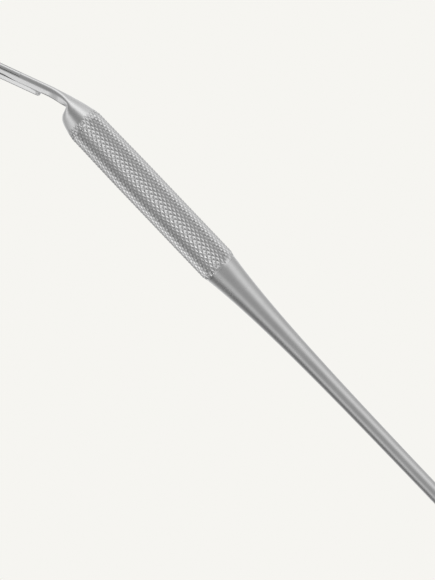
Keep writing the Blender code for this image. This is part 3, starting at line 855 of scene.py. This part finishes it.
def spade_outline(along, upper_count, lower_count):
    """(across, z) of the spade's section, with as many points as the plate's."""
    middle = TONGUE_W / 2.0
    if along <= SPADE_ROUND_S:
        widened = smoothstep(17.5 * MM, SPADE_FULL_S, along)
        half_width = middle + (SPADE_HALF_W - middle) * widened
    else:
        past = (along - SPADE_ROUND_S) / (BLADE_TIP_S - SPADE_ROUND_S)
        half_width = SPADE_HALF_W * math.sqrt(max(0.0, 1.0 - past * past))
    grow = smoothstep(16.0 * MM, 22.0 * MM, along)
    thickness = BLADE_T - BLADE_GAP + (SPADE_T - BLADE_T + BLADE_GAP) * grow
    lift = SPADE_LIFT * smoothstep(17.0 * MM, BLADE_TIP_S + 4.0 * MM, along)

    # shares across from -1 to 1 over the top and back underneath
    shares = []
    for i in range(upper_count):
        share = signed_power(-1.0 + 2.0 * i / (upper_count - 1), SPADE_TOP_SPACING)
        shares.append((share, 0.5))
    for i in range(lower_count):
        share = signed_power(1.0 - 2.0 * (i + 1) / (lower_count + 1), SPADE_BOTTOM_SPACING)
        shares.append((share, -0.5))
    inner, outer = SPADE_EDGE_POWERS
    outline = []
    for share, half in shares:
        across = share * half_width
        z = (BLADE_BOTTOM + BLADE_TOP) / 2.0
        z += half * (1.0 - abs(share) ** inner) ** outer * thickness
        z += SPADE_DISH * grow * (across / SPADE_HALF_W) ** 2 + lift
        outline.append((middle + across, z))
    return outline


def blade_ring(along):
    upper, lower = plate_outline()
    spade = spade_outline(along, len(upper), len(lower))
    share = smoothstep(16.8 * MM, 20.5 * MM, along)
    return [
        (along, plate_w + (spade_w - plate_w) * share, plate_z + (spade_z - plate_z) * share)
        for (plate_w, plate_z), (spade_w, spade_z) in zip(upper + lower, spade)
    ]


def slot_wall(start, across, lean):
    """One leaning wall of the slot, up to its rounded corner at the end."""
    corner = SLOT_END_S - SLOT_CORNER_S
    wall = [(start, across, lean), (corner, across, lean)]
    for sine, cosine in quarter_turn(6, 5):
        wall.append(
            (
                SLOT_END_S - SLOT_CORNER_S * (1.0 - sine),
                across + lean * SLOT_CORNER_W * (1.0 - cosine),
                lean,
            )
        )
    wall.append((SLOT_END_S, across + lean * SLOT_CORNER_W, lean))
    return wall


def make_pip():
    """A pressed pip with a soft dome, near the heel."""
    rings = []
    for radius, height in PIP_RINGS:
        ring = []
        for i in range(PIP_POINTS):
            angle = 2.0 * math.pi * i / PIP_POINTS
            ring.append(
                (
                    PIP_S + radius * MM * math.cos(angle),
                    PIP_W + radius * MM * math.sin(angle),
                    TONGUE_HALF_T - PIP_SINK + height * MM,
                )
            )
        rings.append(ring)
    part = new_object("pip", loft(rings))
    place_on_tongue(part)
    return part


def make_blade():
    rings = [blade_ring(s * MM) for s in BLADE_STATIONS]
    part = new_object("slide_on_blade", loft(rings), blade_steel)
    place_on_tongue(part)

    # the slot for the key, and the plate's two rear ends
    start = -8.0 * MM
    back_w = KEY_BACK_W - SLOT_BACK_PLAY
    face_w = KEY_FACE_W + SLOT_FACE_PLAY
    mid_w = (back_w + face_w) / 2.0
    slot = slot_wall(start, back_w, 1.0) + slot_wall(start, face_w, -1.0)[::-1]
    shoulder = SHOULDER_S + SHOULDER_PLAY
    clear_back = -1.0 * MM
    clear_face = TONGUE_W + 1.0 * MM
    back_end = [
        (start, clear_back, 0.0),
        (shoulder, clear_back, 0.0),
        (shoulder, mid_w, 0.0),
        (start, mid_w, 0.0),
    ]
    heel_w = TONGUE_W - HEEL_ROUND
    face_end = [(start, mid_w, 0.0), (HEEL_S, mid_w, 0.0), (HEEL_S, heel_w, 0.0)]
    for sine, cosine in quarter_turn(12, 12):
        face_end.append((HEEL_S + HEEL_ROUND * (1.0 - cosine), heel_w + HEEL_ROUND * sine, 0.0))
    face_end += [(HEEL_S + HEEL_ROUND, clear_face, 0.0), (start, clear_face, 0.0)]
    for name, outline in (("slot", slot), ("back_end", back_end), ("face_end", face_end)):
        cut(part, name, outline, SEAT_Z - 0.2 * MM, TONGUE_HALF_T + 0.4 * MM)

    boolean(part, make_pip(), "UNION")
    finish_milled(part, break_angle=34.0, sharp_angle=34.0)
    return part


grip = make_grip()
shank = make_shank()
holder = make_holder()
blade = make_blade()

for piece, body, node_name in (
    (grip, "handle", "grip_sleeve"),
    (shank, "handle", "rear_shank"),
    (holder, "handle", "blade_holder"),
    (blade, "blade", "pusher_blade"),
):
    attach(piece, body)
    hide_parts(node_name)

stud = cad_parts["tie_stud"]
if stud.material_slots:
    for material_slot in stud.material_slots:
        material_slot.material = stud_steel
else:
    stud.data.materials.append(stud_steel)


# ------------------------------------------------------------- floor and light
PALE = (0.921, 0.913, 0.879, 1.0)

# Light levels of the soft boxes and flags, as bands round the handle's axis:
# degrees from the camera's side towards ACROSS, level.
# Straight across the handle:
MIDDLE_BANDS = [
    (-180, 1.02), (-154, 0.98), (-136, 0.70), (-113, 0.61), (-98, 0.63), (-84, 0.70),
    (-72, 0.80), (-60, 0.94), (-50, 1.00), (-41, 0.98), (-31, 0.87), (-22, 0.68),
    (-12, 0.53), (-3, 0.46), (8, 0.44), (25, 0.45), (34, 0.48), (44, 0.60),
    (52, 0.75), (60, 0.75), (68, 0.62), (77, 0.39), (88, 0.23), (100, 0.18),
    (112, 0.25), (124, 0.36), (138, 0.58), (150, 0.88), (180, 1.02),
]
# Towards the nose end, where the key box stands:
NOSE_BANDS = [
    (-180, 0.90), (-162, 0.88), (-150, 0.82), (-138, 0.76), (-108, 0.78), (-87, 0.89),
    (-77, 1.08), (-66, 1.31), (-58, 1.39), (-50, 1.38), (-43, 1.22), (-36, 0.92),
    (-29, 0.65), (-21, 0.51), (-12, 0.44), (0, 0.39), (10, 0.39), (22, 0.43),
    (29, 0.52), (36, 0.73), (44, 0.96), (52, 1.10), (62, 1.08), (70, 0.98),
    (80, 0.85), (90, 0.70), (102, 0.61), (114, 0.60), (136, 0.70), (150, 0.80),
    (162, 0.88), (180, 0.90),
]
# Between the two, as the knurl's forward flanks see the boxes:
FLANK_BANDS = [
    (-180, 1.00), (-162, 1.00), (-148, 0.98), (-136, 0.90), (-116, 0.92), (-101, 1.00),
    (-88, 1.14), (-76, 1.16), (-66, 1.04), (-58, 0.86), (-50, 0.66), (-40, 0.50),
    (-30, 0.48), (-20, 0.52), (-8, 0.48), (8, 0.39), (20, 0.36), (32, 0.38),
    (42, 0.42), (50, 0.50), (58, 0.66), (66, 0.90), (78, 1.22), (88, 1.25),
    (96, 1.08), (106, 0.82), (118, 0.64), (132, 0.62), (148, 0.90), (162, 1.00),
    (180, 1.00),
]
# Towards the rear end, with a narrower key box and a darker flag:
REAR_BANDS = [
    (-180, 1.00), (-162, 1.00), (-148, 0.96), (-136, 0.90), (-116, 0.98), (-101, 1.12),
    (-88, 1.28), (-76, 1.24), (-66, 0.98), (-58, 0.72), (-50, 0.46), (-40, 0.28),
    (-30, 0.34), (-20, 0.50), (-8, 0.54), (8, 0.45), (20, 0.33), (32, 0.26),
    (42, 0.28), (50, 0.58), (58, 1.25), (66, 1.90), (78, 2.15), (88, 2.00),
    (96, 1.60), (106, 1.00), (118, 0.70), (132, 0.68), (148, 0.92), (162, 1.00),
    (180, 1.00),
]


def pale_floor():
    mat = bpy.data.materials.new("pale_floor")
    graph = Graph(mat)
    graph.nodes.remove(graph.nodes["Principled BSDF"])
    glow = graph.node("ShaderNodeEmission")
    glow.inputs[0].default_value = PALE
    graph.link(glow.outputs[0], graph.nodes["Material Output"].inputs[0])
    shape = bmesh.new()
    bmesh.ops.create_grid(shape, x_segments=1, y_segments=1, size=3.0)
    floor = new_object("floor", shape, mat)
    floor.location = (0.07, 0.0, -GRIP_R - 0.0001)
    floor.visible_glossy = False
    floor.visible_diffuse = False
    floor.visible_shadow = False


def studio_world():
    """Soft light boxes and flags as bands round the handle's axis."""
    world = bpy.data.worlds.new("studio")
    bpy.context.scene.world = world
    graph = Graph(world)
    coords = graph.node("ShaderNodeTexCoord")

    def dot(vector):
        node = graph.node("ShaderNodeVectorMath", operation="DOT_PRODUCT")
        graph.link(coords.outputs["Generated"], node.inputs[0])
        node.inputs[1].default_value = tuple(vector)
        return node.outputs["Value"]

    def bands(angle, table):
        """The table's level at an angle between -180 and 180 degrees."""
        scaled = graph.mul(graph.sub(angle, -180.0), 1.0 / 360.0)
        return graph.ramp(scaled, [((degrees + 180.0) / 360.0, level) for degrees, level in table])

    def fade_to(level, other, angle, start, end):
        """Level below the start angle, other above the end angle."""
        share = graph.mul(graph.sub(angle, start), 1.0 / (end - start), clamp=True)
        return graph.add(level, graph.mul(share, graph.sub(other, level)))

    to_degrees = 180.0 / math.pi
    turn = graph.mul(graph.math("ARCTAN2", dot(ACROSS), dot(TO_CAMERA)), to_degrees)
    axial = graph.mul(graph.math("ARCSINE", dot(ALONG)), to_degrees)

    # the boxes lean a little, so their bands turn with the distance to the rear,
    # up to 25 degrees of it
    rearward = graph.math("MAXIMUM", graph.math("MINIMUM", axial, 0.0), -25.0)
    leaning = graph.add(turn, graph.mul(rearward, -1.05))
    wrap = graph.mul(graph.math("GREATER_THAN", leaning, 180.0), 360.0)
    leaning = graph.sub(leaning, wrap)

    middle = bands(leaning, MIDDLE_BANDS)
    level = fade_to(middle, bands(turn, FLANK_BANDS), axial, start=9.0, end=17.0)
    level = fade_to(level, bands(turn, NOSE_BANDS), axial, start=17.5, end=22.0)
    to_rear = graph.mul(axial, -1.0)
    level = fade_to(level, bands(turn, REAR_BANDS), to_rear, start=17.0, end=22.0)
    # near the rear end the room is plain again, at half contrast
    calm = graph.add(graph.mul(middle, 0.5), 0.28)
    to_rear = graph.mul(axial, -1.0)
    level = fade_to(level, calm, to_rear, start=30.0, end=38.0)

    # a neutral tint, and the floor's colour where the camera sees the world
    colour = graph.node("ShaderNodeCombineColor")
    for channel in colour.inputs:
        graph.link(graph.mul(level, 1.0), channel)
    path = graph.node("ShaderNodeLightPath")
    seen = graph.mix(path.outputs["Is Camera Ray"], colour.outputs[0], PALE)
    background = graph.nodes["Background"]
    graph.link(seen, background.inputs[0])
    background.inputs[1].default_value = 1.0


def soft_box(name, aim_x, turn, distance, size_x, size_y, level):
    """A soft box turned by degrees about the handle's axis, aimed at aim_x."""
    data = bpy.data.lights.new(name, "AREA")
    data.shape = "RECTANGLE"
    data.size = size_x
    data.size_y = size_y
    data.energy = level * math.pi * size_x * size_y
    light = bpy.data.objects.new(name, data)
    bpy.context.scene.collection.objects.link(light)
    angle = math.radians(turn)
    out = math.cos(angle) * TO_CAMERA + math.sin(angle) * ACROSS
    light.location = Vector((aim_x, 0.0, 0.0)) + out * distance
    side = ALONG.cross(out).normalized()
    along = out.cross(side).normalized()
    light.rotation_euler = Matrix((along, -side, out)).transposed().to_euler()


pale_floor()
studio_world()
# a small box for the flat faces of the neck and blade
soft_box(
    "face_box", aim_x=0.133, turn=44.0, distance=0.30, size_x=0.085, size_y=0.070, level=0.72
)


# --------------------------------------------------------------------- camera
VIEW_SIZE = 118.088 * MM       # extent of the view at the target
TARGET_ALONG = 72.25 * MM
TARGET_ACROSS = 3.55 * MM


def make_camera():
    right = -math.cos(VIEW_TURN) * ALONG - math.sin(VIEW_TURN) * ACROSS
    up = math.sin(VIEW_TURN) * ALONG - math.cos(VIEW_TURN) * ACROSS
    target = ALONG * TARGET_ALONG + ACROSS * TARGET_ACROSS
    data = bpy.data.cameras.new("camera")
    data.sensor_width = 36.0
    data.lens = 400.0
    data.clip_start = 0.01
    data.clip_end = 20.0
    camera = bpy.data.objects.new("camera", data)
    bpy.context.scene.collection.objects.link(camera)
    eye = target + TO_CAMERA * (VIEW_SIZE * data.lens / data.sensor_width)
    turn = Matrix((right, up, TO_CAMERA)).transposed().to_4x4()
    camera.matrix_world = Matrix.Translation(eye) @ turn
    bpy.context.scene.camera = camera


make_camera()
view = bpy.context.scene.view_settings
view.view_transform = "Standard"
view.look = "None"
view.exposure = 0.0
view.gamma = 1.0

bpy.context.view_layer.update()
